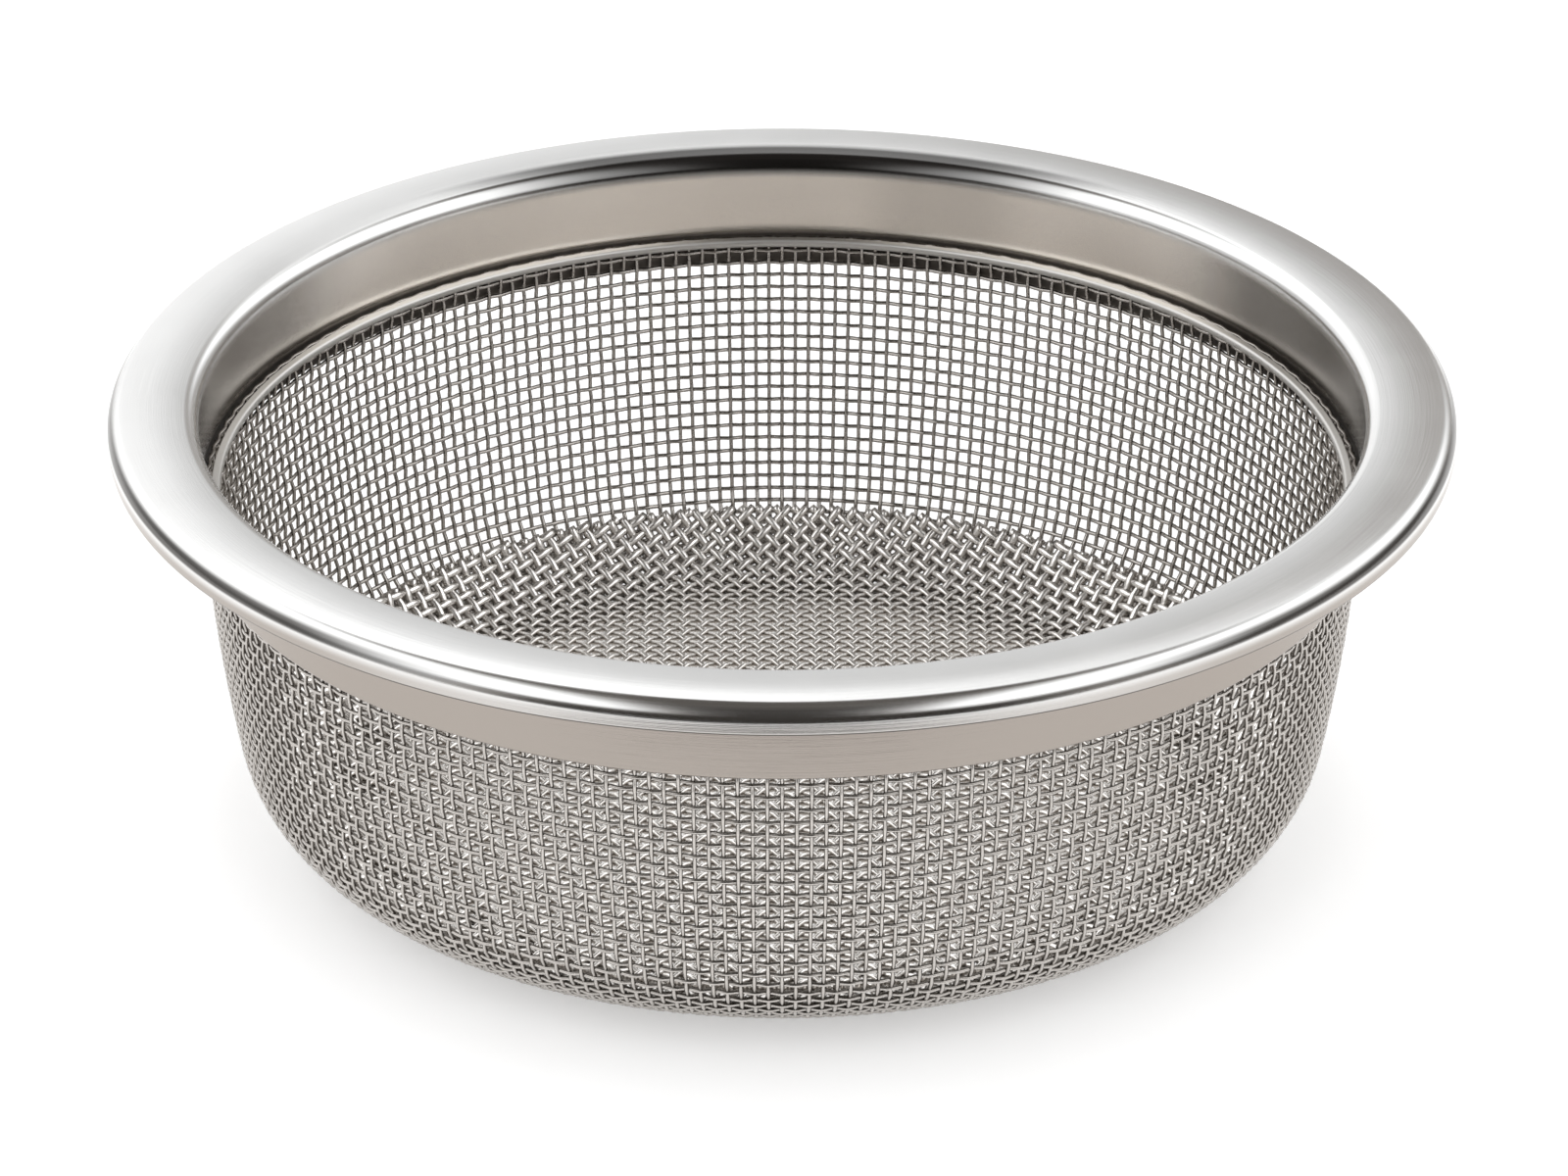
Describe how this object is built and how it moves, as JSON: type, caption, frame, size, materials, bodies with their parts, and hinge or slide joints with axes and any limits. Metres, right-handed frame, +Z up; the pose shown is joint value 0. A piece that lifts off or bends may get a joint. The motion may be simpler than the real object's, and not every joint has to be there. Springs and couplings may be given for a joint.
{
  "type": "basket sieve",
  "caption": "Round basket sieve: deep woven-wire basket with a rolled-edge flanged rim, which stands on its floor or hangs in an opening by the rim.",
  "frame": {"origin": "on the ground under the basket's axis", "axes": "+Z up along the basket's axis; the sieve is round about it"},
  "size_m": [0.1734, 0.1734, 0.0585],
  "materials": {
    "rim_steel": "satin, fine circular grain",
    "ring_steel": "polished stainless steel",
    "wall_cloth": "plain woven stainless steel wire",
    "floor_cloth": "plain woven stainless steel wire"
  },
  "bodies": {
    "root": {"rim": "rim_steel", "clamp_ring": "ring_steel", "wall_mesh": "wall_cloth", "floor_mesh": "floor_cloth"}
  },
  "joints": []
}
